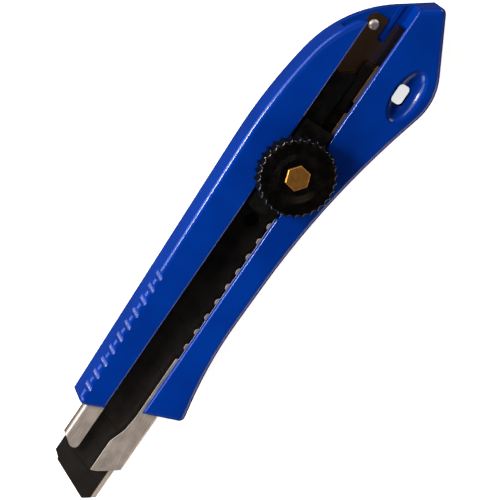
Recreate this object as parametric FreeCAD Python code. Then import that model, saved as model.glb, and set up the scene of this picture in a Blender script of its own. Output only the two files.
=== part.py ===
import FreeCAD, Part
import math
import os

# Snap-off utility knife with a thumb-wheel lock, in millimetres.
# The flat back lies on Z = 0, +X runs towards the blade's tip, +Y towards its cutting edge and
# +Z out of the slotted front. The origin is on the back, on the blade channel's centre line,
# below the middle of the lock wheel. The blade is shown a little way out, with the wheel tight.

# ---- driving dimensions: handle ----
HANDLE_THICK = 13.0
FRONT_WALL = 2.2            # plastic in front of the channel's lips
EDGE_ROUND = 1.7            # rounding of the handle's outer edges
PALM_ROUND = 5.0            # fuller rounding of the back along the spine side
BELLY_ROUND = 3.5           # and along the finger side
ROUND_SKIM = 0.03           # the rounding cutters' ends stand this far outside the faces they leave
SLOT_SPINE_Y = -5.35        # slot edge towards the blade's back
SLOT_BELLY_Y = 4.9          # slot edge towards the cutting edge
SLOT_EDGE_ROUND = 0.7
TAIL_FLOOR_X = -50.0        # behind here only the slot's width is cut down to the tail floor
RIDGE_COUNT = 10            # grip scallops across the spine-side front edge
RIDGE_PITCH = 4.1
RIDGE_FIRST_X = 81.0
LANYARD_X, LANYARD_Y = -33.9, 15.3
LANYARD_LENGTH, LANYARD_WIDTH, LANYARD_CORNER = 5.8, 4.25, 1.3
DISH_LENGTH, DISH_WIDTH, DISH_DEPTH = 17.0, 8.8, 3.0
POCKET_Z = 8.2              # the hole opens into a pocket in the back up to here
POCKET_X, POCKET_Y = (-38.2, -28.6), (12.8, 21.6)
SLOT_RELIEF = 1.2           # undercut of the front wall beside the slot

# ---- driving dimensions: steel channel ----
SHEET = 0.5
CHANNEL_HALF = 10.0         # outside half width
CHANNEL_DEPTH = 3.6
CHANNEL_REAR_X = -49.2
LIP_SPINE_Y = -4.8          # inner edge of the spine-side lip
LIP_BELLY_Y = 4.6           # inner edge of the cutting-side lip
LIP_FRONT_Y = 2.25          # the same lip where it widens at the nose
RACK_PITCH = 5.15
RACK_COUNT = 12
RACK_FIRST_X = 57.8
RACK_ROOT_Y = 5.4
CHANNEL_FIT = 0.05          # gap between channel and handle

# ---- driving dimensions: blade ----
BLADE_WIDTH = 18.0
BLADE_THICK = 0.5
BLADE_REAR_X = 9.0
BLADE_TIP_X = 111.0
GRIND_WIDTH = 1.4           # bright ground strip at the cutting edge
SCORE_PITCH = 7.1
SCORE_COUNT = 10
SCORE_FIRST_X = 101.9       # where the first score line crosses the blade's centre line
SCORE_SLANT = math.radians(68)
SCORE_DEPTH = 0.12
PIN_X, PIN_Y = 18.0, 0.4
PIN_RADIUS = 1.8
BLADE_HOLE_RADIUS = 2.5

# ---- driving dimensions: wheel and clamp ----
WHEEL_Y = 0.55
WHEEL_RADIUS = 11.45
WHEEL_THICK = 4.9
WHEEL_BOTTOM_Z = HANDLE_THICK + 2.8
WHEEL_TEETH = 30
NOTCH_RADIUS = 0.95         # grip notches around the rim
NOTCH_CENTRE = 0.25         # how far outside the rim their centres lie
DISH_RIM = 7.0              # radius of the shallow dish in the wheel's face
SCREW_RADIUS = 1.95         # M4 thread, drawn plain
HEX_ACROSS = 6.45
HEX_TURN = 19.5             # degrees from +X to one corner of the hexagon
THREAD_FIT = 0.05
NUT_RADIUS = 2.9

# ---- driving dimensions: leaf arm behind the wheel ----
LEAF_Z0 = 9.6
LEAF_THICK = 0.4
LEAF_Y = 2.9                # its rivets' line
LEAF_RIVETS_X = (-16.0, -20.4)

# ---- heights worked out from the above ----
CHANNEL_TOP_Z = HANDLE_THICK - FRONT_WALL
CHANNEL_BACK_Z = CHANNEL_TOP_Z - CHANNEL_DEPTH
FLOOR_Z = CHANNEL_BACK_Z + SHEET
LIP_UNDER_Z = CHANNEL_TOP_Z - SHEET
PLATE_Z0 = FLOOR_Z + 0.08
PLATE_Z1 = PLATE_Z0 + 0.4
BLADE_Z0 = PLATE_Z1 + 0.05
BLADE_Z1 = BLADE_Z0 + BLADE_THICK
CLAMP_Z1 = LIP_UNDER_Z - 0.1
CLAMP_Z0 = CLAMP_Z1 - 0.95
FLANGE_Z0 = HANDLE_THICK + 0.15
FLANGE_Z1 = FLANGE_Z0 + 1.4
WASHER_Z1 = WHEEL_BOTTOM_Z - 0.1
WHEEL_TOP_Z = WHEEL_BOTTOM_Z + WHEEL_THICK

Z_AXIS = FreeCAD.Vector(0, 0, 1)


def at(x, y, z=0.0):
    """A point or direction."""
    return FreeCAD.Vector(x, y, z)


def box(x0, x1, y0, y1, z0, z1):
    """A box between the given planes."""
    return Part.makeBox(x1 - x0, y1 - y0, z1 - z0, at(x0, y0, z0))


def rod(x, y, z0, z1, radius):
    """An upright cylinder."""
    return Part.makeCylinder(radius, z1 - z0, at(x, y, z0), Z_AXIS)


def rounded_wire(corners, z):
    """A closed outline of (x, y, radius) corners; a radius of 0 keeps the corner sharp."""
    starts, arcs = [], []
    for i, (x, y, radius) in enumerate(corners):
        here = at(x, y, z)
        before = at(corners[i - 1][0], corners[i - 1][1], z) - here
        after = at(corners[(i + 1) % len(corners)][0], corners[(i + 1) % len(corners)][1], z) - here
        before.normalize()
        after.normalize()
        if radius == 0:
            starts.append((here, here))
            arcs.append(None)
            continue
        half = before.getAngle(after) / 2
        reach = radius / math.tan(half)
        middle = before + after
        middle.normalize()
        crown = here + middle * (radius / math.sin(half) - radius)
        starts.append((here + before * reach, here + after * reach))
        arcs.append(Part.Arc(here + before * reach, crown, here + after * reach).toShape())
    edges = []
    for i, (_, leave) in enumerate(starts):
        if arcs[i]:
            edges.append(arcs[i])
        meet = starts[(i + 1) % len(starts)][0]
        if leave.distanceToPoint(meet) > 1e-6:
            edges.append(Part.makeLine(leave, meet))
    return Part.Wire(edges)


def prism(corners, z0, z1):
    """An upright prism over an outline of (x, y, radius) corners."""
    return Part.Face(rounded_wire(corners, z0)).extrude(at(0, 0, z1 - z0))


def revolved(profile, x, y):
    """A turned solid about an upright axis, from (radius, z) points."""
    points = [at(radius, 0, z) for radius, z in profile]
    face = Part.Face(Part.makePolygon(points + points[:1]))
    solid = face.revolve(at(0, 0, 0), Z_AXIS, 360)
    solid.translate(at(x, y))
    return solid


def edges_where(shape, test):
    """The edges whose every end meets the test."""
    return [edge for edge in shape.Edges if all(test(vertex.Point) for vertex in edge.Vertexes)]


def rounding_section(start, ahead, radius):
    """The cutter's section where a back edge is rounded; the body lies on the left of ahead."""
    inward = at(-ahead.y, ahead.x)
    over = 3.0
    crown = 1 - math.sqrt(0.5)
    start = start - (inward + Z_AXIS) * ROUND_SKIM
    below, inner = start - Z_AXIS * over, start + inward * radius
    side = start + Z_AXIS * radius
    edges = [Part.makeLine(below - inward * over, below + inward * radius),
             Part.makeLine(below + inward * radius, inner),
             Part.Arc(inner, start + (inward + Z_AXIS) * radius * crown, side).toShape(),
             Part.makeLine(side, side - inward * over),
             Part.makeLine(side - inward * over, below - inward * over)]
    return Part.Face(Part.Wire(edges))


def back_rounding(corners, radius):
    """Cutters that round a back edge along an open run of (x, y, radius) corners, body on the left."""
    cutters = []
    last = at(corners[0][0], corners[0][1])
    for i in range(1, len(corners)):
        here = at(corners[i][0], corners[i][1])
        ahead = here - last
        ahead.normalize()
        if i == len(corners) - 1:
            cutters.append(rounding_section(last, ahead, radius).extrude(here - last))
            break
        after = at(corners[i + 1][0], corners[i + 1][1]) - here
        after.normalize()
        turn = ahead.getAngle(after)
        reach = corners[i][2] * math.tan(turn / 2)
        touch = here - ahead * reach
        cutters.append(rounding_section(last, ahead, radius).extrude(touch - last))
        left = math.copysign(1.0, ahead.cross(after).z)
        centre = touch + at(-ahead.y, ahead.x) * corners[i][2] * left
        bend = rounding_section(touch, ahead, radius)
        cutters.append(bend.revolve(centre, Z_AXIS, math.degrees(turn) * left))
        last = here + after * reach
    return cutters


def beyond(start, end):
    """The corner 5 mm past the second one, on the line from the first."""
    run = math.hypot(end[0] - start[0], end[1] - start[1])
    return (end[0] + (end[0] - start[0]) * 5 / run, end[1] + (end[1] - start[1]) * 5 / run, 0)


def handle_blank():
    """The handle before its slot is cut: one outline with rounded outer edges."""
    outline = [
        (87.6, -13.4, 2.5),         # nose, spine side
        (84.4, -5.0, 2.0),
        (80.4, 4.9, 2.0),
        (76.5, 16.6, 1.8),          # finger guard
        (57.7, 12.8, 120.0),        # hollow under the forefinger
        (2.0, 14.0, 240.0),
        (-37.8, 24.8, 17.0),        # lobe around the lanyard hole
        (-60.9, 11.2, 1.8),         # tail
        (-45.0, -11.5, 37.0),       # sweep from the tail
        (-13.8, -16.7, 150.0),      # to the spine side
    ]
    blank = prism(outline, 0, HANDLE_THICK)
    blank = blank.makeFillet(EDGE_ROUND, edges_where(blank, lambda p: p.z > HANDLE_THICK - 0.01))
    nose = [beyond(outline[1], outline[0]), (*outline[1][:2], 30.0), (*outline[2][:2], 30.0),
            beyond(outline[2], outline[3])]
    belly = [beyond(outline[4], outline[3]), *outline[4:7], beyond(outline[6], outline[7])]
    palm = [beyond(outline[8], outline[7]), *outline[8:], beyond(outline[9], outline[0])]
    return blank.cut(back_rounding(nose, EDGE_ROUND) + back_rounding(belly, BELLY_ROUND)
                     + back_rounding(palm, PALM_ROUND))


def grip_scallops():
    """Round cutters that lean across the spine-side front edge."""
    lean = at(0.55, 1.0, 1.0)
    lean.normalize()
    radius = 1.45
    cutters = []
    for i in range(RIDGE_COUNT):
        x = RIDGE_FIRST_X - i * RIDGE_PITCH
        spine_y = -13.7 - 0.033 * (82.0 - x)
        middle = at(x, spine_y - 0.05, HANDLE_THICK - 0.05)
        cutters.append(Part.makeCylinder(radius, 12, middle - lean * 6, lean))
    return Part.makeCompound(cutters)


def slot_edge_round(y, side):
    """The cutter that rounds one long front edge of the slot; side is +1 or -1 along Y."""
    size = SLOT_EDGE_ROUND
    inner, outer = sorted((y, y + side * size))
    corner = box(-70, 100, inner, outer, HANDLE_THICK - size, HANDLE_THICK + 1)
    bar = Part.makeCylinder(size, 170, at(-70, y + side * size, HANDLE_THICK - size), at(1, 0, 0))
    return corner.cut(bar)


def lanyard_dish():
    """The oval hollow around the lanyard hole: a ball stretched along X."""
    ball = Part.makeSphere(1.0)
    stretch = FreeCAD.Matrix()
    stretch.scale(DISH_LENGTH / 2, DISH_WIDTH / 2, DISH_DEPTH)
    ball = ball.transformGeometry(stretch)
    ball.translate(at(LANYARD_X - 0.6, LANYARD_Y + 0.6, HANDLE_THICK))
    return ball


def handle():
    """The blue moulding: slotted front, channel cavity, oblique tail and lanyard hole."""
    body = handle_blank()
    cavity = CHANNEL_HALF + CHANNEL_FIT
    floor_z = CHANNEL_BACK_Z - CHANNEL_FIT
    cuts = [
        box(TAIL_FLOOR_X, 100, -cavity, cavity, floor_z, CHANNEL_TOP_Z + CHANNEL_FIT),
        box(-70, 100, SLOT_SPINE_Y, SLOT_BELLY_Y, CHANNEL_TOP_Z - 0.1, HANDLE_THICK + 1),
        box(-70, TAIL_FLOOR_X + 1, SLOT_SPINE_Y - 12, SLOT_BELLY_Y, floor_z, HANDLE_THICK + 1),
        grip_scallops(),
    ]
    tail_opening = [
        (-31.0, -19.0, 0), (-35.8, -13.2, 1.0), (-44.6, -7.8, 5.0), (-46.0, SLOT_SPINE_Y + 0.4, 0.6),
        (-46.0, 0.0, 0), (-70.0, 0.0, 0), (-70.0, -19.0, 0),
    ]
    cuts.append(prism(tail_opening, floor_z, HANDLE_THICK + 1))
    cuts.append(lanyard_dish())
    relief = SLOT_BELLY_Y + 0.8
    cuts.append(box(TAIL_FLOOR_X, 100, -relief, relief, CHANNEL_TOP_Z, CHANNEL_TOP_Z + SLOT_RELIEF))
    half_long, half_wide = LANYARD_LENGTH / 2, LANYARD_WIDTH / 2
    cuts.append(prism([(LANYARD_X + x * half_long, LANYARD_Y + y * half_wide, LANYARD_CORNER)
                       for x, y in ((-1, -1), (1, -1), (1, 1), (-1, 1))], -1, HANDLE_THICK + 1))
    (near, far), (low, high) = POCKET_X, POCKET_Y
    cuts.append(prism([(near, low, 2.0), (far, low, 2.0), (far, high, 2.0), (near, high, 2.0)], -1, POCKET_Z))
    body = body.cut(cuts + [slot_edge_round(SLOT_BELLY_Y, 1), slot_edge_round(SLOT_SPINE_Y, -1)])
    # the key rib that locates the channel's forked rear end
    rib = box(-57.0, -43.6, 1.3, 2.5, floor_z - 0.2, floor_z + 0.55).common(handle_blank())
    return body.fuse(rib).removeSplitter()


def channel_section():
    """The channel's folded section, run past both ends."""
    def ring(half, z0, z1, radius):
        corners = [(-half, z0, radius), (half, z0, radius), (half, z1, radius), (-half, z1, radius)]
        flat = Part.Face(rounded_wire(corners, 0))
        flat.rotate(at(0, 0, 0), at(1, 1, 1), 120)
        return flat
    length = 110 - CHANNEL_REAR_X
    outer = ring(CHANNEL_HALF, CHANNEL_BACK_Z, CHANNEL_TOP_Z, 0.9).extrude(at(length, 0, 0))
    inner = ring(CHANNEL_HALF - SHEET, FLOOR_Z, LIP_UNDER_Z, 0.4).extrude(at(length, 0, 0))
    section = outer.cut(inner)
    section.translate(at(CHANNEL_REAR_X, 0))
    return section


def channel_mouth():
    """The gap between the two lips, seen from the front, with the rack's roots."""
    rack_front = RACK_FIRST_X + 4.3
    rack_rear = RACK_FIRST_X - (RACK_COUNT - 0.5) * RACK_PITCH
    corners = [
        (115, LIP_SPINE_Y, 0), (-60, LIP_SPINE_Y, 0),
        (-60, RACK_ROOT_Y, 0), (-37.0, RACK_ROOT_Y, 0.3), (-37.0, LIP_BELLY_Y, 0.4),
        (-25.0, LIP_BELLY_Y, 0.3), (-25.0, RACK_ROOT_Y, 0.3),
        (-21.4, RACK_ROOT_Y, 0.3), (-21.4, LIP_BELLY_Y, 0.3),
        (rack_rear, LIP_BELLY_Y, 0.3), (rack_rear, RACK_ROOT_Y, 0.3),
        (rack_front, RACK_ROOT_Y, 0.3), (rack_front, LIP_BELLY_Y, 0.4),
        (82.4, LIP_BELLY_Y, 12.0), (87.3, 4.1, 6.0), (92.0, LIP_FRONT_Y, 4.0),
        (115, LIP_FRONT_Y, 0),
    ]
    mouth = prism(corners, LIP_UNDER_Z - 0.3, CHANNEL_TOP_Z + 1)
    teeth = []
    for i in range(RACK_COUNT):
        x = RACK_FIRST_X - i * RACK_PITCH
        teeth.append(prism([(x - 1.05, LIP_BELLY_Y, 0.85), (x + 1.05, LIP_BELLY_Y, 0.85),
                            (x + 1.05, RACK_ROOT_Y + 1, 0), (x - 1.05, RACK_ROOT_Y + 1, 0)],
                           LIP_UNDER_Z - 1, CHANNEL_TOP_Z + 2))
    return mouth.cut(teeth)


def blade_channel():
    """The folded steel channel: two lips, a toothed inner edge and a forked rear end."""
    body = channel_section().cut(channel_mouth())
    floor_under = CHANNEL_BACK_Z - 1
    top_over = CHANNEL_TOP_Z + 1
    nose = prism([(96.4, -20, 0), (96.4, -10.3, 0.5), (98.9, -7.0, 1.2), (98.9, LIP_SPINE_Y, 1.4),
                  (97.0, LIP_SPINE_Y, 0), (97.0, LIP_SPINE_Y + 0.5, 0), (101.8, 0.0, 0),
                  (102.0, LIP_FRONT_Y, 1.2), (101.5, 3.8, 1.0), (97.7, 10.0, 0.8), (97.7, 20, 0),
                  (120, 20, 0), (120, -20, 0)], floor_under, top_over)
    tail_spine = prism([(-37.0, -20, 0), (-37.0, -10.0, 0), (-44.4, -4.55, 1.0), (-47.9, -4.55, 0.3),
                        (-49.3, -2.9, 0.3), (-60, -2.9, 0), (-60, -20, 0)], floor_under, LIP_UNDER_Z - 0.2)
    lip_spine = prism([(-36.0, -20, 0), (-37.6, -10.6, 0), (-44.9, -6.8, 0.8), (-43.4, -4.4, 0.5),
                       (-60, -4.4, 0), (-60, -20, 0)], LIP_UNDER_Z - 0.3, top_over)
    lip_belly = box(-60, -37.0, 3, 20, FLOOR_Z + 0.2, top_over)
    fork = prism([(-42.8, 0.9, 1.0), (-42.8, 3.4, 1.0), (-55, 3.4, 0), (-55, 0.9, 0)],
                 floor_under, FLOOR_Z + 0.2)
    hole = rod(-45.8, -2.05, floor_under, FLOOR_Z + 1, 0.9)
    return body.cut([nose, tail_spine, lip_spine, lip_belly, fork, hole])


def channel_rivet():
    """The domed rivet that holds the channel's rear end to the handle."""
    dome_z = FLOOR_Z
    profile = [(0, dome_z - 4.5), (0.88, dome_z - 4.5), (0.88, dome_z), (1.5, dome_z), (1.5, dome_z + 0.2),
               (1.36, dome_z + 0.55), (1.0, dome_z + 0.85), (0.5, dome_z + 1.0), (0, dome_z + 1.04)]
    return revolved(profile, -45.8, -2.05)


def snap_blade():
    """The black blade: slanted tip, score lines, ground cutting edge and rear hole."""
    half = BLADE_WIDTH / 2
    outline = [
        (BLADE_REAR_X, -half, 0.6), (102.4, -half, 0), (104.0, -7.2, 0), (104.7, -6.9, 0),
        (BLADE_TIP_X, 5.5, 0.9), (108.8, half, 0.3), (BLADE_REAR_X, half, 0.6),
    ]
    body = prism(outline, BLADE_Z0, BLADE_Z1)
    middle_z = (BLADE_Z0 + BLADE_Z1) / 2
    cuts = [rod(PIN_X, PIN_Y, BLADE_Z0 - 1, BLADE_Z1 + 1, BLADE_HOLE_RADIUS)]
    for face_z in (BLADE_Z0, BLADE_Z1):
        wedge = Part.Face(Part.makePolygon([
            at(0, half - GRIND_WIDTH, face_z), at(0, half + 1, middle_z + (face_z - middle_z) * -0.6),
            at(0, half + 1, face_z + (face_z - middle_z)), at(0, half - GRIND_WIDTH, face_z)]))
        cuts.append(wedge.extrude(at(130, 0, 0)))
    run = at(math.cos(SCORE_SLANT), math.sin(SCORE_SLANT), 0)
    for i in range(SCORE_COUNT):
        groove = Part.Face(Part.makePolygon([at(-0.14, 0, 0.02), at(0.14, 0, 0.02), at(0, 0, -SCORE_DEPTH),
                                             at(-0.14, 0, 0.02)])).extrude(at(0, 30, 0))
        groove.translate(at(0, -15, 0))
        groove.rotate(at(0, 0, 0), Z_AXIS, math.degrees(SCORE_SLANT) - 90)
        groove.translate(at(SCORE_FIRST_X - i * SCORE_PITCH, 0, BLADE_Z1))
        cuts.append(groove)
    return body.cut(cuts)


def slider_plate():
    """The thin plate on the channel's floor that carries the blade's pin."""
    half = CHANNEL_HALF - SHEET - 0.2
    plate = prism([(26.0, -half + 4, 3.0), (26.0, half - 4, 3.0), (20.0, half, 2.0), (-26.0, half, 1.0),
                   (-26.0, -half, 1.0), (20.0, -half, 2.0)], PLATE_Z0, PLATE_Z1)
    return plate.cut(rod(PIN_X, PIN_Y, 0, 20, 1.2))


def blade_pin():
    """The shouldered pin in the blade's rear hole, riveted through the slider plate."""
    return rod(PIN_X, PIN_Y, PLATE_Z0, PLATE_Z1, 1.2).fuse(
        rod(PIN_X, PIN_Y, PLATE_Z1, BLADE_Z1 - 0.05, PIN_RADIUS)).removeSplitter()


def slider_guide():
    """The black block: a neck in the slot, a round flange on the front and a slanted rear part."""
    neck_spine, neck_belly = LIP_SPINE_Y + 0.2, LIP_BELLY_Y - 0.2
    neck = prism([(14.5, neck_spine, 1.5), (14.5, neck_belly, 1.5), (-14.5, neck_belly, 0.5),
                  (-14.5, neck_spine, 0.5)], PLATE_Z1, FLANGE_Z0 + 0.3)
    flange = rod(0, WHEEL_Y, FLANGE_Z0, FLANGE_Z1, 9.0)
    rear_top = LIP_UNDER_Z - 0.15
    rear = prism([(-12.6, neck_spine - 4.5, 0), (-12.6, 1.3, 0), (-32.4, 1.3, 0.4),
                  (-25.2, neck_spine - 4.5, 0.4)], PLATE_Z1, rear_top)
    shelf = box(-23.0, -12.6, 1.2, 9.0, PLATE_Z1, LEAF_Z0)
    stem = box(-30.0, -12.6, neck_spine + 0.2, 1.2, rear_top - 0.4, rear_top + 0.35)
    block = neck.fuse([flange, rear, shelf, stem]).removeSplitter()
    clamp_room = box(-12.3, 12.3, -9.3, 9.3, PLATE_Z1 - 0.1, LIP_UNDER_Z + 0.05)
    nut_room = rod(0, WHEEL_Y, PLATE_Z1, 12.8, NUT_RADIUS + 0.15)
    bore = rod(0, WHEEL_Y, PLATE_Z1, FLANGE_Z1 + 1, SCREW_RADIUS + 0.1)
    blade_room = box(BLADE_REAR_X - 0.3, 15.0, -9.3, 9.3, PLATE_Z1 - 0.1, BLADE_Z1 + 0.1)
    rivet_holes = [rod(x, LEAF_Y, PLATE_Z1 - 1, LEAF_Z0 + 0.1, 0.6) for x in LEAF_RIVETS_X]
    return block.cut([clamp_room, nut_room, bore, blade_room] + rivet_holes)


def clamp_plate():
    """The plate under both lips that the screw pulls up."""
    half = CHANNEL_HALF - SHEET - 0.25
    nose_end, tail_end = BLADE_REAR_X - 0.4, -12.0
    plate = prism([(nose_end, -half, 1.0), (nose_end, half, 1.0), (tail_end, half, 1.0),
                   (tail_end, -half, 1.0)], CLAMP_Z0, CLAMP_Z1)
    return plate.cut(rod(0, WHEEL_Y, 0, 20, 2.5))


def clamp_nut():
    """The collar nut pressed into the clamp plate."""
    body = rod(0, WHEEL_Y, CLAMP_Z0, CLAMP_Z1, 2.5).fuse(rod(0, WHEEL_Y, CLAMP_Z1, 12.4, NUT_RADIUS))
    return body.cut(rod(0, WHEEL_Y, 0, 20, SCREW_RADIUS + THREAD_FIT)).removeSplitter()


def drag_spring():
    """The leaf arm behind the wheel, with a rounded, lifted end."""
    leaf = prism([(-14.6, 1.6, 0), (-14.6, 4.2, 0), (-36.4, 4.2, 1.2), (-37.4, 1.6, 1.2)],
                 LEAF_Z0, LEAF_Z0 + LEAF_THICK)
    toe = Part.makeCylinder(0.55, 2.3, at(-36.0, 1.8, LEAF_Z0 + 0.35), at(0, 1, 0))
    leaf = leaf.fuse(toe.common(box(-40, -30, 0, 6, LEAF_Z0 + 0.2, 12))).removeSplitter()
    return leaf.cut([rod(x, LEAF_Y, 0, 20, 0.6) for x in LEAF_RIVETS_X])


def spring_rivets():
    """The two small rivets of the leaf arm."""
    top = LEAF_Z0 + LEAF_THICK
    rivets = []
    for x in LEAF_RIVETS_X:
        shank, head = rod(x, LEAF_Y, LEAF_Z0 - 1.0, top, 0.6), rod(x, LEAF_Y, top, top + 0.3, 1.0)
        rivets.append(shank.fuse(head).removeSplitter())
    return Part.makeCompound(rivets)


def wheel_washer():
    """The flat washer between the flange and the wheel."""
    return rod(0, WHEEL_Y, FLANGE_Z1, WASHER_Z1, 6.5).cut(rod(0, WHEEL_Y, 0, 30, SCREW_RADIUS + 0.1))


def hexagon(across, z0, z1):
    """A hexagonal bar on the wheel's axis."""
    corner = across / math.sqrt(3)
    angles = [math.radians(HEX_TURN + 60 * i) for i in range(6)]
    corners = [(corner * math.cos(a), WHEEL_Y + corner * math.sin(a), 0) for a in angles]
    return prism(corners, z0, z1)


def lock_wheel():
    """The thumb wheel: notched rim, bevelled edges and a dished face around the hexagon."""
    z0, z1 = WHEEL_BOTTOM_Z, WHEEL_TOP_Z
    rim = WHEEL_RADIUS
    profile = [(0, z0), (rim - 0.6, z0), (rim, z0 + 0.6), (rim, z1 - 0.7), (rim - 1.1, z1),
               (DISH_RIM, z1), (DISH_RIM - 2.2, z1 - 0.55), (0, z1 - 0.6)]
    wheel = revolved(profile, 0, WHEEL_Y)
    notches = []
    for i in range(WHEEL_TEETH):
        angle = 2 * math.pi * i / WHEEL_TEETH
        reach = rim + NOTCH_CENTRE
        notches.append(rod(reach * math.cos(angle), WHEEL_Y + reach * math.sin(angle),
                           z0 - 1, z1 + 1, NOTCH_RADIUS))
    seat = hexagon(HEX_ACROSS, z1 - 2.2, z1 + 1)
    bore = rod(0, WHEEL_Y, z0 - 1, z1, SCREW_RADIUS)
    return wheel.cut(notches + [seat, bore])


def wheel_screw():
    """The brass screw moulded into the wheel."""
    head = hexagon(HEX_ACROSS, WHEEL_TOP_Z - 2.2, WHEEL_TOP_Z - 0.05)
    top_rim = edges_where(head, lambda p: p.z > WHEEL_TOP_Z - 0.1)
    head = head.makeChamfer(0.25, top_rim)
    shank = rod(0, WHEEL_Y, PLATE_Z1 + 0.15, WHEEL_TOP_Z - 2.2, SCREW_RADIUS)
    return head.fuse(shank).removeSplitter()


PIECES = [
    handle, blade_channel, channel_rivet, snap_blade, slider_plate, blade_pin, slider_guide,
    clamp_plate, clamp_nut, drag_spring, spring_rivets, wheel_washer, lock_wheel, wheel_screw,
]

os.makedirs("parts", exist_ok=True)
for make_piece in PIECES:
    shape = make_piece()
    print(make_piece.__name__, shape.isValid(), len(shape.Solids), round(shape.Volume, 2), shape.BoundBox)
    shape.exportStep("parts/" + make_piece.__name__ + ".step")
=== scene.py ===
import logging
import math
from dataclasses import dataclass, field
from enum import Enum

import bmesh
import bpy
from mathutils import Matrix, Vector


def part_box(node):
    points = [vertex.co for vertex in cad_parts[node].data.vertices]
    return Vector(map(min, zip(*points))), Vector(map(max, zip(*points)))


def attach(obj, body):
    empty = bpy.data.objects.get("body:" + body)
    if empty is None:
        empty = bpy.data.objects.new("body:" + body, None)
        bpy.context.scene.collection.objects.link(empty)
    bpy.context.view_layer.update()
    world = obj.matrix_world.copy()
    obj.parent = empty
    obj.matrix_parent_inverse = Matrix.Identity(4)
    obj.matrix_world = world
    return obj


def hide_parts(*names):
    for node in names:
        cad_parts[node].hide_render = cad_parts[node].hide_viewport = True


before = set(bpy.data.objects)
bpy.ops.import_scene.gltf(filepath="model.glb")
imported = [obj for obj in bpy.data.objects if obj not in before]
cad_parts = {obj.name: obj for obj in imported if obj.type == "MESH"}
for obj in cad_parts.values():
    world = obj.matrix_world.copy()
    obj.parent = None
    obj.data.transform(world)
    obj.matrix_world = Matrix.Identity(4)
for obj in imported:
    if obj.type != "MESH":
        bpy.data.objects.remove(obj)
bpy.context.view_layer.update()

# A snap-off utility knife with a thumb-wheel lock. The CAD pieces get their finishes here, and the
# wheel's moulding is modelled again with a rounded, notched rim. Classes hold lengths in
# millimetres, in the CAD frame: +X towards the blade's tip, +Y towards its cutting edge, +Z up.

MM = 0.001
LOG = logging.getLogger("utility_knife")
WAVE_PERIOD = 0.32      # a wave texture of scale 1 repeats over about this length

Socket = bpy.types.NodeSocket
Tree = bpy.types.NodeTree
Piece = bpy.types.Object
Colour = tuple[float, float, float, float]


# ---------------------------------------------------------------------------------------------
# Colours and shader nodes
# ---------------------------------------------------------------------------------------------

def linear(code: str) -> Colour:
    """Turns an sRGB hex colour to linear light.

    Args:
        code: Six hexadecimal digits after a hash.

    Returns:
        Red, green, blue and an alpha of 1 in linear light.
    """
    channels = [int(code[i:i + 2], 16) / 255 for i in (1, 3, 5)]
    light = [c / 12.92 if c <= 0.04045 else ((c + 0.055) / 1.055) ** 2.4 for c in channels]
    return (light[0], light[1], light[2], 1.0)


def add_node(tree: Tree, kind: str, settings: dict | None = None, inputs: dict | None = None,
             stops: list[tuple[float, str]] | None = None) -> bpy.types.Node:
    """Adds a shader node with its settings and links.

    Args:
        tree: The node tree that gets the node.
        kind: The node type without its ShaderNode prefix.
        settings: Properties of the node, by name.
        inputs: Inputs by name or number; a socket is linked and anything else is set.
        stops: Positions and hex colours of a colour ramp, lowest first.

    Returns:
        The new node.
    """
    node = tree.nodes.new("ShaderNode" + kind)
    for name, value in (settings or {}).items():
        setattr(node, name, value)
    for name, value in (inputs or {}).items():
        if isinstance(value, bpy.types.NodeSocket):
            tree.links.new(value, node.inputs[name])
        else:
            node.inputs[name].default_value = value
    for i, (position, code) in enumerate(stops or []):
        if i > 1:
            node.color_ramp.elements.new(position)
        node.color_ramp.elements[i].position = position
        node.color_ramp.elements[i].color = linear(code)
    return node


class Grain(Enum):
    """Which way the marks of rolling or grinding run."""

    ALONG = (0.08, 1.0, 1.0)
    ACROSS = (1.0, 0.08, 1.0)


class Finish:
    """A surface finish that becomes one material."""

    name: str = "finish"

    def paint(self, tree: Tree, shader: bpy.types.Node, place: Socket) -> None:
        """Wires the finish's own nodes to the shader.

        Args:
            tree: The material's node tree.
            shader: Its Principled shader.
            place: Object coordinates in millimetres.
        """
        raise NotImplementedError

    def material(self) -> bpy.types.Material:
        """Makes the material, or returns the one made before.

        Returns:
            The material of that name.
        """
        made = bpy.data.materials.get(self.name)
        if made:
            return made
        made = bpy.data.materials.new(self.name)
        made.use_nodes = True
        tree = made.node_tree
        tree.nodes.clear()
        shader = add_node(tree, "BsdfPrincipled")
        add_node(tree, "OutputMaterial", inputs={"Surface": shader.outputs["BSDF"]})
        place = add_node(tree, "Mapping", inputs={
            "Vector": add_node(tree, "TexCoord").outputs["Object"], "Scale": [1 / MM] * 3})
        self.paint(tree, shader, place.outputs["Vector"])
        return made


# ---------------------------------------------------------------------------------------------
# Finishes
# ---------------------------------------------------------------------------------------------

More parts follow.
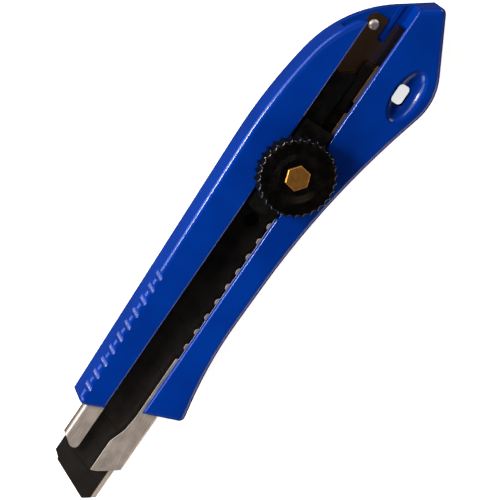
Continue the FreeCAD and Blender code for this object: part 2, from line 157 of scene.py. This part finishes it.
@dataclass(frozen=True)
class MouldedAbs(Finish):
    """Injection-moulded ABS: one deep colour right through, and the gloss of a polished mould."""

    name: str = "moulded_blue_abs"
    colour: str = "#002f88"
    deep: str = "#00297c"       # where the melt flowed last
    gloss: float = 0.17
    scuffed: float = 0.05       # how much a scuff adds to the roughness
    shine: float = 0.36
    ior: float = 1.45
    flow_mm: float = 16.0
    scuff_mm: float = 0.5
    peel_mm: float = 1.7
    peel_depth_mm: float = 0.008

    def paint(self, tree: Tree, shader: bpy.types.Node, place: Socket) -> None:
        """Slight flow marks, hair scuffs along the handle and a faint ripple keep the gloss alive.

        Args:
            tree: The material's node tree.
            shader: Its Principled shader.
            place: Object coordinates in millimetres.
        """
        flow = add_node(tree, "TexNoise", inputs={
            "Vector": place, "Scale": 1 / self.flow_mm, "Detail": 2.0})
        colour = add_node(tree, "ValToRGB", inputs={"Fac": flow.outputs["Fac"]},
                          stops=[(0.35, self.deep), (0.65, self.colour)])
        along = add_node(tree, "Mapping", inputs={"Vector": place, "Scale": Grain.ALONG.value})
        scuffs = add_node(tree, "TexNoise", inputs={
            "Vector": along.outputs["Vector"], "Scale": 1 / self.scuff_mm, "Detail": 3.0})
        rough = add_node(tree, "MapRange", inputs={
            "Value": scuffs.outputs["Fac"], "From Min": 0.45, "From Max": 0.75,
            "To Min": self.gloss, "To Max": self.gloss + self.scuffed})
        peel = add_node(tree, "TexNoise", inputs={
            "Vector": place, "Scale": 1 / self.peel_mm, "Detail": 1.0})
        ripple = add_node(tree, "Bump", inputs={
            "Height": peel.outputs["Fac"], "Distance": self.peel_depth_mm * MM, "Strength": 1.0})
        tree.links.new(colour.outputs["Color"], shader.inputs["Base Color"])
        tree.links.new(rough.outputs["Result"], shader.inputs["Roughness"])
        tree.links.new(ripple.outputs["Normal"], shader.inputs["Normal"])
        shader.inputs["IOR"].default_value = self.ior
        shader.inputs["Specular IOR Level"].default_value = self.shine


@dataclass(frozen=True)
class PressedSteel(Finish):
    """Cold-rolled stainless sheet, pressed and tumbled: matte outside, still bright inside the fold."""

    floor_top_mm: float         # up to here the sheet is the inside of the fold
    lip_under_mm: float         # and from here on it is the outside
    name: str = "pressed_stainless_sheet"
    colour: str = "#bcb1a8"
    shade: str = "#a89c92"
    inner: str = "#b08f76"
    sheared_highlight: str = "#efe6dc"    # painted highlight: near-white on the sheet's cut edges inside the fold, standing in for the light they catch; the press's bright sheared band is there too
    fold_mm: float = 8.4        # the folds lie further out than this, to both sides
    fold_blur_mm: float = 0.4
    shaded_brown: str = "#7d6047"      # painted shade: behind the wheel the lips are painted a darker brown, standing in for the shade and warm light there
    shaded_brown_mm: float = -14.0     # the painted shade is full behind here
    shade_fade_mm: float = 8.0   # and is gone this much further forwards
    rough: float = 0.5
    inner_rough: float = 0.27
    outer_metallic: float = 0.72
    streak_mm: float = 0.35     # real rolling lines are finer; drawn coarser so that they show
    streak_depth_mm: float = 0.006
    bloom_mm: float = 3.0

    def paint(self, tree: Tree, shader: bpy.types.Node, place: Socket) -> None:
        """Rolling streaks under a tumbled bloom; the channel's floor keeps the mill's bright skin.

        Args:
            tree: The material's node tree.
            shader: Its Principled shader.
            place: Object coordinates in millimetres.
        """
        spot = add_node(tree, "SeparateXYZ", inputs={"Vector": place})
        outside = add_node(tree, "MapRange", inputs={
            "Value": spot.outputs["Z"], "From Min": self.floor_top_mm, "From Max": self.lip_under_mm})
        along = add_node(tree, "Mapping", inputs={"Vector": place, "Scale": Grain.ALONG.value})
        streak = add_node(tree, "TexNoise", inputs={
            "Vector": along.outputs["Vector"], "Scale": 1 / self.streak_mm, "Detail": 3.0})
        bloom = add_node(tree, "TexNoise", inputs={
            "Vector": place, "Scale": 1 / self.bloom_mm, "Detail": 4.0})
        mixed = add_node(tree, "Math", {"operation": "MULTIPLY"}, {
            0: streak.outputs["Fac"], 1: bloom.outputs["Fac"]})
        skin = add_node(tree, "ValToRGB", inputs={"Fac": mixed.outputs[0]},
                        stops=[(0.15, self.shade), (0.35, self.colour)])
        surface = add_node(tree, "NewGeometry")
        facing = add_node(tree, "SeparateXYZ", inputs={"Vector": surface.outputs["Normal"]})
        level = add_node(tree, "Math", {"operation": "ABSOLUTE"}, {0: facing.outputs["Z"]})
        # painted highlight: upright faces within the fold get the near-white edge colour, as if lit
        cut = add_node(tree, "MapRange", inputs={
            "Value": level.outputs[0], "From Min": 0.35, "From Max": 0.75, "To Min": 1.0, "To Max": 0.0})
        inward = add_node(tree, "Math", {"operation": "ABSOLUTE"}, {0: spot.outputs["Y"]})
        mouth = add_node(tree, "MapRange", inputs={
            "Value": inward.outputs[0], "From Min": self.fold_mm,
            "From Max": self.fold_mm + self.fold_blur_mm, "To Min": 1.0, "To Max": 0.0})
        bright = add_node(tree, "Math", {"operation": "MULTIPLY"}, {
            0: cut.outputs["Result"], 1: mouth.outputs["Result"]})
        edged = add_node(tree, "Mix", {"data_type": "RGBA"}, {
            0: bright.outputs[0], 6: skin.outputs["Color"], 7: linear(self.sheared_highlight)})
        # painted shade: the lips turn a darker brown behind the wheel
        out_of_shade = add_node(tree, "MapRange", inputs={
            "Value": spot.outputs["X"], "From Min": self.shaded_brown_mm,
            "From Max": self.shaded_brown_mm + self.shade_fade_mm})
        lip = add_node(tree, "Mix", {"data_type": "RGBA"}, {
            0: out_of_shade.outputs["Result"], 6: linear(self.shaded_brown), 7: edged.outputs[2]})
        colour = add_node(tree, "Mix", {"data_type": "RGBA"}, {
            0: outside.outputs["Result"], 6: linear(self.inner), 7: lip.outputs[2]})
        tumbled = add_node(tree, "MapRange", inputs={
            "Value": mixed.outputs[0], "From Min": 0.1, "From Max": 0.4,
            "To Min": self.rough - 0.06, "To Max": self.rough + 0.08})
        rough = add_node(tree, "Mix", inputs={
            0: outside.outputs["Result"], 2: self.inner_rough, 3: tumbled.outputs["Result"]})
        metal = add_node(tree, "MapRange", inputs={
            "Value": outside.outputs["Result"], "To Min": 1.0, "To Max": self.outer_metallic})
        grain = add_node(tree, "Bump", inputs={
            "Height": streak.outputs["Fac"], "Distance": self.streak_depth_mm * MM, "Strength": 1.0})
        tree.links.new(colour.outputs[2], shader.inputs["Base Color"])
        tree.links.new(rough.outputs[0], shader.inputs["Roughness"])
        tree.links.new(metal.outputs["Result"], shader.inputs["Metallic"])
        tree.links.new(grain.outputs["Normal"], shader.inputs["Normal"])


@dataclass(frozen=True)
class TurnedMetal(Finish):
    """Turned or cold-headed metal with fine tool marks around its own axis."""

    name: str = "turned_steel"
    colour: str = "#b9b2aa"
    shade: str = "#8d867e"
    rough: float = 0.3
    axis_mm: tuple[float, float] = (0.0, 0.0)
    ring_mm: float = 0.3        # real marks are about 0.05 mm apart; drawn coarser so that they show
    ring_depth_mm: float = 0.006
    tarnish_mm: float = 1.2

    def paint(self, tree: Tree, shader: bpy.types.Node, place: Socket) -> None:
        """Rings around the axis and a light tarnish that dulls the shine in patches.

        Args:
            tree: The material's node tree.
            shader: Its Principled shader.
            place: Object coordinates in millimetres.
        """
        centred = add_node(tree, "Mapping", inputs={
            "Vector": place, "Location": (-self.axis_mm[0], -self.axis_mm[1], 0.0)})
        rings = add_node(tree, "TexWave", {"wave_type": "RINGS", "rings_direction": "Z"}, {
            "Vector": centred.outputs["Vector"], "Scale": WAVE_PERIOD / self.ring_mm,
            "Distortion": 1.0, "Detail": 2.0})
        tarnish = add_node(tree, "TexNoise", inputs={
            "Vector": place, "Scale": 1 / self.tarnish_mm, "Detail": 3.0})
        colour = add_node(tree, "ValToRGB", inputs={"Fac": tarnish.outputs["Fac"]},
                          stops=[(0.35, self.shade), (0.62, self.colour)])
        rough = add_node(tree, "MapRange", inputs={
            "Value": tarnish.outputs["Fac"], "From Min": 0.3, "From Max": 0.7,
            "To Min": self.rough + 0.1, "To Max": self.rough - 0.05})
        marks = add_node(tree, "Bump", inputs={
            "Height": rings.outputs["Fac"], "Distance": self.ring_depth_mm * MM, "Strength": 1.0})
        tree.links.new(colour.outputs["Color"], shader.inputs["Base Color"])
        tree.links.new(rough.outputs["Result"], shader.inputs["Roughness"])
        tree.links.new(marks.outputs["Normal"], shader.inputs["Normal"])
        shader.inputs["Metallic"].default_value = 1.0


@dataclass(frozen=True)
class OxideSteel(Finish):
    """Carbon steel with a black oxide over its grinding marks and a thin film of oil."""

    name: str = "black_oxide_steel"
    colour: str = "#24221f"
    shade: str = "#191715"
    rough: float = 0.36
    metallic: float = 0.6
    grain: Grain = Grain.ACROSS
    edge_mm: float = 99.0       # beyond this far along Y the oxide is ground off again
    edge_blur_mm: float = 0.03
    bare: str = "#c9bdb0"
    bare_rough: float = 0.5
    bare_metallic: float = 0.75
    lit_tip: str = "#24221f"     # painted light: the oxide's colour towards the tip, lighter where more light falls on it
    lit_tip_mm: tuple[float, float] = (30.0, 100.0)      # from none to the full painted light, along X
    grind_mm: float = 0.22      # real grinding lines are finer; drawn coarser so that they show
    grind_depth_mm: float = 0.004
    patch_mm: float = 5.0

    def paint(self, tree: Tree, shader: bpy.types.Node, place: Socket) -> None:
        """Patchy oxide over ground lines, and the bare bright strip of the honed edge.

        Args:
            tree: The material's node tree.
            shader: Its Principled shader.
            place: Object coordinates in millimetres.
        """
        run = add_node(tree, "Mapping", inputs={"Vector": place, "Scale": self.grain.value})
        lines = add_node(tree, "TexNoise", inputs={
            "Vector": run.outputs["Vector"], "Scale": 1 / self.grind_mm, "Detail": 2.0})
        patch = add_node(tree, "TexNoise", inputs={
            "Vector": place, "Scale": 1 / self.patch_mm, "Detail": 3.0})
        oxide = add_node(tree, "ValToRGB", inputs={"Fac": patch.outputs["Fac"]},
                         stops=[(0.35, self.shade), (0.65, self.colour)])
        spot = add_node(tree, "SeparateXYZ", inputs={"Vector": place})
        # painted light: the oxide lightens towards the blade's tip and stays darker nearer the wheel
        towards_tip = add_node(tree, "MapRange", inputs={
            "Value": spot.outputs["X"], "From Min": self.lit_tip_mm[0], "From Max": self.lit_tip_mm[1]})
        tip_toned = add_node(tree, "Mix", {"data_type": "RGBA"}, {
            0: towards_tip.outputs["Result"], 6: oxide.outputs["Color"], 7: linear(self.lit_tip)})
        honed = add_node(tree, "MapRange", inputs={
            "Value": spot.outputs["Y"], "From Min": self.edge_mm - self.edge_blur_mm,
            "From Max": self.edge_mm + self.edge_blur_mm})
        colour = add_node(tree, "Mix", {"data_type": "RGBA"}, {
            0: honed.outputs["Result"], 6: tip_toned.outputs[2], 7: linear(self.bare)})
        dull = add_node(tree, "MapRange", inputs={
            "Value": patch.outputs["Fac"], "From Min": 0.3, "From Max": 0.7,
            "To Min": self.rough - 0.05, "To Max": self.rough + 0.08})
        rough = add_node(tree, "Mix", inputs={
            0: honed.outputs["Result"], 2: dull.outputs["Result"], 3: self.bare_rough})
        metal = add_node(tree, "MapRange", inputs={
            "Value": honed.outputs["Result"], "To Min": self.metallic, "To Max": self.bare_metallic})
        ground = add_node(tree, "Bump", inputs={
            "Height": lines.outputs["Fac"], "Distance": self.grind_depth_mm * MM, "Strength": 1.0})
        tree.links.new(colour.outputs[2], shader.inputs["Base Color"])
        tree.links.new(rough.outputs[0], shader.inputs["Roughness"])
        tree.links.new(metal.outputs["Result"], shader.inputs["Metallic"])
        tree.links.new(ground.outputs["Normal"], shader.inputs["Normal"])


@dataclass(frozen=True)
class BlackPlastic(Finish):
    """Black moulded plastic, matte from a spark-eroded mould or glossy from a polished one."""

    name: str = "black_acetal"
    colour: str = "#020202"
    grey: str = "#040404"
    shine: float = 0.25
    ior: float = 1.48
    rough: float = 0.34
    worn_rough: float = 0.12    # how much handling adds to the roughness
    worn_mm: float = 2.4
    pebble_mm: float = 0.45
    pebble_depth_mm: float = 0.01

    def paint(self, tree: Tree, shader: bpy.types.Node, place: Socket) -> None:
        """A fine pebble breaks the reflections up, and handling leaves duller patches.

        Args:
            tree: The material's node tree.
            shader: Its Principled shader.
            place: Object coordinates in millimetres.
        """
        handled = add_node(tree, "TexNoise", inputs={
            "Vector": place, "Scale": 1 / self.worn_mm, "Detail": 3.0})
        colour = add_node(tree, "ValToRGB", inputs={"Fac": handled.outputs["Fac"]},
                          stops=[(0.4, self.colour), (0.7, self.grey)])
        rough = add_node(tree, "MapRange", inputs={
            "Value": handled.outputs["Fac"], "From Min": 0.35, "From Max": 0.7,
            "To Min": self.rough, "To Max": self.rough + self.worn_rough})
        pebble = add_node(tree, "TexNoise", inputs={
            "Vector": place, "Scale": 1 / self.pebble_mm, "Detail": 1.0})
        skin = add_node(tree, "Bump", inputs={
            "Height": pebble.outputs["Fac"], "Distance": self.pebble_depth_mm * MM, "Strength": 1.0})
        tree.links.new(colour.outputs["Color"], shader.inputs["Base Color"])
        tree.links.new(rough.outputs["Result"], shader.inputs["Roughness"])
        tree.links.new(skin.outputs["Normal"], shader.inputs["Normal"])
        shader.inputs["IOR"].default_value = self.ior
        shader.inputs["Specular IOR Level"].default_value = self.shine


@dataclass(frozen=True)
class PaleBoard(Finish):
    """White card lit through from below, so that shadows on it stay faint."""

    name: str = "pale_lit_card"
    colour: str = "#f2f2f2"
    fibre: str = "#ececec"
    cast: str = "#404040"       # what the card throws back up at the knife
    glow: float = 0.75
    fibre_mm: float = 1.5       # real paper fibres are finer; drawn coarser so that they show

    def paint(self, tree: Tree, shader: bpy.types.Node, place: Socket) -> None:
        """Paper grain; the card is bright to look at but throws little light back up.

        Args:
            tree: The material's node tree.
            shader: Its Principled shader.
            place: Object coordinates in millimetres.
        """
        grain = add_node(tree, "TexNoise", inputs={
            "Vector": place, "Scale": 1 / self.fibre_mm, "Detail": 3.0})
        colour = add_node(tree, "ValToRGB", inputs={"Fac": grain.outputs["Fac"]},
                          stops=[(0.3, self.fibre), (0.7, self.colour)])
        seen = add_node(tree, "LightPath")
        card = add_node(tree, "Mix", {"data_type": "RGBA"}, {
            0: seen.outputs["Is Camera Ray"], 6: linear(self.cast), 7: colour.outputs["Color"]})
        glow = add_node(tree, "Math", {"operation": "MULTIPLY"}, {
            0: seen.outputs["Is Camera Ray"], 1: self.glow})
        tree.links.new(card.outputs[2], shader.inputs["Base Color"])
        tree.links.new(glow.outputs[0], shader.inputs["Emission Strength"])
        shader.inputs["Emission Color"].default_value = (1.0, 1.0, 1.0, 1.0)
        shader.inputs["Roughness"].default_value = 0.9
        shader.inputs["Specular IOR Level"].default_value = 0.0


# ---------------------------------------------------------------------------------------------
# Pieces
# ---------------------------------------------------------------------------------------------

def corners_mm(node: str) -> tuple[Vector, Vector]:
    """Finds where a CAD piece lies.

    Args:
        node: The CAD node's name.

    Returns:
        Its lowest and highest corners, in millimetres.
    """
    low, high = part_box(node)
    return low / MM, high / MM


def axis_mm(node: str) -> tuple[float, float]:
    """Finds the upright axis of a round CAD piece.

    Args:
        node: The CAD node's name.

    Returns:
        The axis's X and Y, in millimetres.
    """
    low, high = corners_mm(node)
    return ((low.x + high.x) / 2, (low.y + high.y) / 2)


def dress(node: str, finish: Finish) -> Piece:
    """Gives a CAD piece its finish.

    Args:
        node: The CAD node's name.
        finish: Its finish.

    Returns:
        The piece.
    """
    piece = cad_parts[node]
    piece.data.materials.clear()
    piece.data.materials.append(finish.material())
    return piece


def finished(name: str, work: bmesh.types.BMesh, finish: Finish) -> Piece:
    """Turns a bmesh in millimetres into a dressed object at the origin, with its faces outwards.

    Args:
        name: The object's name.
        work: The bmesh, which is freed.
        finish: Its finish.

    Returns:
        The object.
    """
    bmesh.ops.scale(work, vec=(MM, MM, MM), verts=work.verts)
    bmesh.ops.recalc_face_normals(work, faces=work.faces)
    mesh = bpy.data.meshes.new(name)
    work.to_mesh(mesh)
    work.free()
    mesh.materials.append(finish.material())
    piece = bpy.data.objects.new(name, mesh)
    bpy.context.scene.collection.objects.link(piece)
    return piece


@dataclass
class Handle:
    """The blue moulding."""

    shell: MouldedAbs = field(default_factory=MouldedAbs)

    def build(self) -> list[Piece]:
        """Dresses the handle, and returns it in a list."""
        return [dress("handle", self.shell)]


@dataclass
class BladeChannel:
    """The folded steel channel and the rivet at its rear end."""

    inside_mm: float = 0.65     # from the channel's back up to where the inside of the fold ends
    outside_mm: float = 0.9     # from the lips' front down to where the outside begins

    def build(self) -> list[Piece]:
        """Dresses the channel and its rivet.

        Returns:
            The pieces.
        """
        low, high = corners_mm("blade_channel")
        sheet = PressedSteel(floor_top_mm=low.z + self.inside_mm, lip_under_mm=high.z - self.outside_mm)
        rivet = TurnedMetal(name="cold_headed_rivet_steel", axis_mm=axis_mm("channel_rivet"), rough=0.5,
                            colour="#d8cfc6", shade="#b5aca3")
        return [dress("blade_channel", sheet),
                dress("channel_rivet", rivet)]


@dataclass
class SnapBlade:
    """The black blade with its ground edge."""

    strip_mm: float = 1.4       # width of the ground strip at the cutting edge

    def build(self) -> list[Piece]:
        """Dresses the blade and the pin that holds it.

        Returns:
            The pieces.
        """
        cutting_edge = corners_mm("snap_blade")[1].y
        # the blade is painted lighter towards its tip, standing in for the light that falls there
        blade = OxideSteel(name="black_oxide_blade_steel", edge_mm=cutting_edge - self.strip_mm,
                           colour="#150f0d", shade="#0b0706", lit_tip="#2d2926")
        # painted shade: the pin is near-black, standing in for the shade in the blade's hole around it
        pin = TurnedMetal(name="shade_dark_pin_steel", axis_mm=axis_mm("blade_pin"), colour="#15110e",
                          shade="#0c0908", rough=0.45)
        return [dress("snap_blade", blade), dress("blade_pin", pin)]


@dataclass
class Carriage:
    """The slider that carries the blade, with its leaf arm and washer."""

    plate: OxideSteel = field(default_factory=lambda: OxideSteel(grain=Grain.ALONG))
    block: BlackPlastic = field(default_factory=BlackPlastic)

    def build(self) -> list[Piece]:
        """Dresses the slider's pieces.

        Returns:
            The pieces.
        """
        spring = OxideSteel(name="blued_spring_steel", colour="#1b1713", shade="#100e0c",
                            grain=Grain.ALONG, rough=0.3)
        rivet = TurnedMetal(name="blacked_leaf_rivet_steel", axis_mm=axis_mm("spring_rivets"),
                            colour="#3a332c", shade="#221e1a")
        washer = TurnedMetal(name="plain_washer_steel", axis_mm=axis_mm("wheel_washer"))
        return [dress("slider_plate", self.plate),
                dress("slider_guide", self.block),
                dress("drag_spring", spring),
                dress("spring_rivets", rivet),
                dress("wheel_washer", washer)]


@dataclass
class Clamp:
    """The plate and nut that the wheel's screw pulls up."""

    plate: OxideSteel = field(default_factory=lambda: OxideSteel(grain=Grain.ALONG))

    def build(self) -> list[Piece]:
        """Dresses the clamp, and returns its pieces."""
        nut = TurnedMetal(name="zinc_plated_nut_steel", axis_mm=axis_mm("clamp_nut"))
        return [dress("clamp_plate", self.plate), dress("clamp_nut", nut)]


@dataclass
class LockWheel:
    """The thumb wheel with its notched rim and the brass screw. Lengths in millimetres."""

    radius: float = 11.45
    teeth: int = 30
    steps_a_tooth: int = 16
    notch_radius: float = 1.02
    notch_centre: float = 0.28      # how far outside the rim the notches' centres lie
    notch_flare: float = 0.5        # the notches widen by this share of the rim's rounding
    under_round: float = 0.55       # rounding of the rim's lower edge
    face_round: float = 0.88        # of its upper edge, inwards
    face_drop: float = 0.715        # and downwards
    round_steps: int = 3
    land: float = 9.6               # outer radius of the flat part of the face
    dish_rim: float = 7.2
    dish_floor: float = 5.0
    dish_depth: float = 0.55
    dish_lead: float = 0.3          # the dish's slope eases in and out over this much radius
    dish_ease: float = 0.04         # and this much depth
    seat_land: float = 4.2          # the last round ring before the hexagon
    hex_across: float = 6.5
    hex_turn: float = 19.5          # degrees from +X to one corner of the hexagon
    hex_depth: float = 2.2
    wall_rise: float = 0.2          # a face whose normal rises less than this stands in the rim
    crease: float = 38.0            # degrees; a sharper edge isn't shaded smooth

    def rim_radius(self, angle: float, soften: float) -> float:
        """Finds how far out the notched rim stands.

        Args:
            angle: The direction from the wheel's axis, in radians.
            soften: How much of the rim is taken off by the rounding of its edge.

        Returns:
            The distance from the axis.
        """
        pitch = 2 * math.pi / self.teeth
        off = (angle + pitch / 2) % pitch - pitch / 2
        reach = self.radius + self.notch_centre
        bite = self.notch_radius + soften * self.notch_flare
        side = reach * math.sin(abs(off))
        full = self.radius - soften
        if side >= bite:
            return full
        return min(full, reach * math.cos(off) - math.sqrt(bite ** 2 - side ** 2))

    def hex_radius(self, angle: float) -> float:
        """Finds how far out the wall of the hexagonal seat stands.

        Args:
            angle: The direction from the wheel's axis, in radians.

        Returns:
            The distance from the axis.
        """
        sixth = math.pi / 3
        off = (angle - math.radians(self.hex_turn)) % sixth - sixth / 2
        return self.hex_across / 2 / math.cos(off)

    def rim_profile(self, bottom: float, top: float) -> list[tuple[float, float]]:
        """Lays out the rim's rings from the underside to the face.

        Args:
            bottom: The underside's height.
            top: The face's height.

        Returns:
            Each ring's height and how much of the rim the rounding takes off there.
        """
        turns = [math.pi / 2 * k / self.round_steps for k in range(self.round_steps + 1)]
        lower = [(bottom + self.under_round * (1 - math.sin(t)), self.under_round * (1 - math.cos(t)))
                 for t in reversed(turns)]
        upper = [(top - self.face_drop * (1 - math.sin(t)), self.face_round * (1 - math.cos(t)))
                 for t in turns]
        return lower + upper

    def face_profile(self, top: float) -> list[tuple[float, float]]:
        """Lays out the round rings of the face, from its land to the floor of its dish.

        Args:
            top: The face's height.

        Returns:
            Each ring's height and radius.
        """
        sloped = [(self.dish_rim - self.dish_lead, self.dish_ease),
                  (self.dish_floor + self.dish_lead, self.dish_depth - self.dish_ease)]
        flat = [(self.dish_floor, self.dish_depth), (self.seat_land, self.dish_depth)]
        return [(top - drop, radius)
                for radius, drop in [(self.land, 0.0), (self.dish_rim, 0.0)] + sloped + flat]

    def place_ring(self, face: bmesh.types.BMFace, height: float, reaches: list[float]) -> None:
        """Moves a face's corners out to a ring around the axis.

        Args:
            face: The face that closes the moulding so far.
            height: The ring's height.
            reaches: How far out each corner goes, in equal turns from +X.
        """
        order = sorted(face.verts, key=lambda v: math.atan2(v.co.y, v.co.x) % (2 * math.pi))
        for i, (vert, out) in enumerate(zip(order, reaches)):
            angle = 2 * math.pi * i / len(reaches)
            vert.co = (out * math.cos(angle), out * math.sin(angle), height)

    def mesh(self) -> bmesh.types.BMesh:
        """Models the wheel: a disc is extruded ring by ring, up the rim and down into the seat.

        Returns:
            The moulding, in millimetres.
        """
        low, high = corners_mm("lock_wheel")
        count = self.teeth * self.steps_a_tooth
        angles = [2 * math.pi * i / count for i in range(count)]
        rings = [(height, [self.rim_radius(a, soften) for a in angles])
                 for height, soften in self.rim_profile(low.z, high.z)]
        rings += [(height, [radius] * count) for height, radius in self.face_profile(high.z)]
        seat = [self.hex_radius(a) for a in angles]
        rings += [(high.z - self.dish_depth, seat), (high.z - self.hex_depth, seat)]
        work = bmesh.new()
        bmesh.ops.create_circle(work, cap_ends=True, segments=count, radius=self.radius)
        underside = next(iter(work.faces))
        self.place_ring(underside, *rings[0])
        face = underside
        for height, reaches in rings[1:]:
            grown = bmesh.ops.extrude_face_region(work, geom=[face])["geom"]
            if face is not underside and face.is_valid:
                bmesh.ops.delete(work, geom=[face], context="FACES_ONLY")
            face = next(item for item in grown if isinstance(item, bmesh.types.BMFace))
            self.place_ring(face, height, reaches)
        bmesh.ops.translate(work, vec=(*axis_mm("lock_wheel"), 0.0), verts=work.verts)
        work.normal_update()
        for made in work.faces:
            made.smooth = True
            made.material_index = 1 if abs(made.normal.z) < self.wall_rise else 0
        for edge in work.edges:
            if len(edge.link_faces) == 2 and edge.calc_face_angle(0.0) > math.radians(self.crease):
                edge.smooth = False
        return work

    def build(self) -> list[Piece]:
        """Models the wheel and dresses its screw.

        Returns:
            The pieces.
        """
        gloss = BlackPlastic(name="polished_black_abs", colour="#030202", grey="#070504", rough=0.14,
                             shine=0.5, pebble_mm=1.4, pebble_depth_mm=0.006)
        matte = BlackPlastic(name="matte_black_abs", rough=0.5, shine=0.12)     # the mould's notched ring
        wheel = finished("lock_wheel_moulding", self.mesh(), gloss)
        wheel.data.materials.append(matte.material())
        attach(wheel, "wheel")
        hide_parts("lock_wheel")
        brass = TurnedMetal(name="milled_brass", colour="#cb9448", shade="#ad7632", rough=0.4,
                            axis_mm=axis_mm("lock_wheel"))
        return [wheel, dress("wheel_screw", brass)]


# ---------------------------------------------------------------------------------------------
# The studio
# ---------------------------------------------------------------------------------------------

@dataclass(frozen=True)
class Lamp:
    """One soft light. Lengths in millimetres."""

    name: str
    place: tuple[float, float, float]
    size: tuple[float, float]
    watts: float
    tint: str = "#ffffff"


@dataclass
class Studio:
    """A pale floor, soft lights and the camera. Lengths in millimetres."""

    target: tuple[float, float, float] = (23.45, 0.30, 21.95)
    distance: float = 700.0
    lean_spine: float = 19.5      # degrees the camera leans from straight above to the spine side
    lean_tail: float = 7.5        # and towards the tail
    turn: float = 55.5            # degrees from the picture's left to the knife's nose
    sensor: float = 36.0
    focal_widths: float = 5.124   # focal length in sensor widths
    seen: tuple[float, float] = (10.0, 20000.0)     # nearest and furthest that the camera sees
    floor_size: float = 6000.0
    room_low: float = 0.34        # brightness of the room at eye level
    room_high: float = 0.012      # and straight above
    room_fade: tuple[float, float] = (0.1, 0.8)     # between these rises of the view it fades
    lamps: tuple[Lamp, ...] = (
        Lamp("key", (50.0, -390.0, 262.0), (115.0, 90.0), 1.9),
        Lamp("low_side", (60.0, -600.0, 160.0), (900.0, 460.0), 5.6),
        Lamp("nose_side", (390.0, -150.0, 230.0), (220.0, 220.0), 1.0),
        Lamp("tail_low", (-560.0, 60.0, 120.0), (260.0, 160.0), 0.9),
        Lamp("tail_high", (-150.0, -20.0, 640.0), (250.0, 250.0), 0.08, "#ffd8b0"),
        Lamp("back_fill", (160.0, 700.0, 330.0), (700.0, 400.0), 1.4),
        Lamp("warm_belly", (10.0, 520.0, 150.0), (420.0, 160.0), 0.85, "#ffd0a0"),
    )

    def floor(self) -> Piece:
        """Lays the floor under the knife's back.

        Returns:
            The floor.
        """
        work = bmesh.new()
        bmesh.ops.create_grid(work, x_segments=1, y_segments=1, size=self.floor_size / 2)
        piece = finished("studio_floor", work, PaleBoard())
        return piece

    def hang_lamps(self) -> None:
        """Hangs the soft lights, each aimed at the middle of the knife."""
        for lamp in self.lamps:
            light = bpy.data.lights.new("studio_" + lamp.name, "AREA")
            light.shape = "RECTANGLE"
            light.size, light.size_y = lamp.size[0] * MM, lamp.size[1] * MM
            light.energy = lamp.watts
            light.color = linear(lamp.tint)[:3]
            holder = bpy.data.objects.new("studio_" + lamp.name, light)
            bpy.context.scene.collection.objects.link(holder)
            holder.location = Vector(lamp.place) * MM
            aim = Vector(self.target) * MM - holder.location
            holder.rotation_euler = aim.to_track_quat("-Z", "Y").to_euler()

    def room(self) -> None:
        """Gives the room an even light that fades towards a dark ceiling."""
        world = bpy.data.worlds.new("studio_room")
        world.use_nodes = True
        tree = world.node_tree
        tree.nodes.clear()
        around = add_node(tree, "TexCoord")
        way = add_node(tree, "SeparateXYZ", inputs={"Vector": around.outputs["Generated"]})
        fade = add_node(tree, "MapRange", inputs={
            "Value": way.outputs["Z"], "From Min": self.room_fade[0], "From Max": self.room_fade[1],
            "To Min": self.room_low, "To Max": self.room_high})
        light = add_node(tree, "Background", inputs={
            "Color": (1.0, 1.0, 1.0, 1.0), "Strength": fade.outputs["Result"]})
        add_node(tree, "OutputWorld", inputs={"Surface": light.outputs["Background"]})
        bpy.context.scene.world = world

    def camera(self) -> None:
        """Sets the camera up from its lean and turn."""
        towards = Vector((-math.sin(math.radians(self.lean_tail)),
                          -math.sin(math.radians(self.lean_spine)), 0.0))
        towards.z = math.sqrt(1 - towards.length_squared)
        nose = Vector((1, 0, 0)) - towards * towards.x
        nose.normalize()
        across = towards.cross(nose)
        angle = math.radians(self.turn)
        right = -math.cos(angle) * nose + math.sin(angle) * across
        up = towards.cross(right)
        data = bpy.data.cameras.new("camera")
        data.sensor_width = self.sensor
        data.lens = self.sensor * self.focal_widths
        data.clip_start, data.clip_end = self.seen[0] * MM, self.seen[1] * MM
        holder = bpy.data.objects.new("camera", data)
        bpy.context.scene.collection.objects.link(holder)
        turn = Matrix((right, up, towards)).transposed().to_4x4()
        holder.matrix_world = Matrix.Translation((Vector(self.target) + towards * self.distance) * MM) @ turn
        bpy.context.scene.camera = holder

    def build(self) -> list[Piece]:
        """Sets the whole studio up.

        Returns:
            The floor, in a list.
        """
        self.hang_lamps()
        self.room()
        self.camera()
        bpy.context.scene.view_settings.view_transform = "Standard"
        return [self.floor()]


def main() -> None:
    """Builds the knife and its studio, in order, and reports each piece."""
    logging.basicConfig(level=logging.INFO, format="%(message)s")
    for part in (Handle(), BladeChannel(), SnapBlade(), Carriage(), Clamp(), LockWheel(), Studio()):
        for piece in part.build():
            LOG.info("%s: %s, %d faces, %s", type(part).__name__, piece.name, len(piece.data.polygons),
                     piece.data.materials[0].name)


if __name__ == "__main__":
    main()
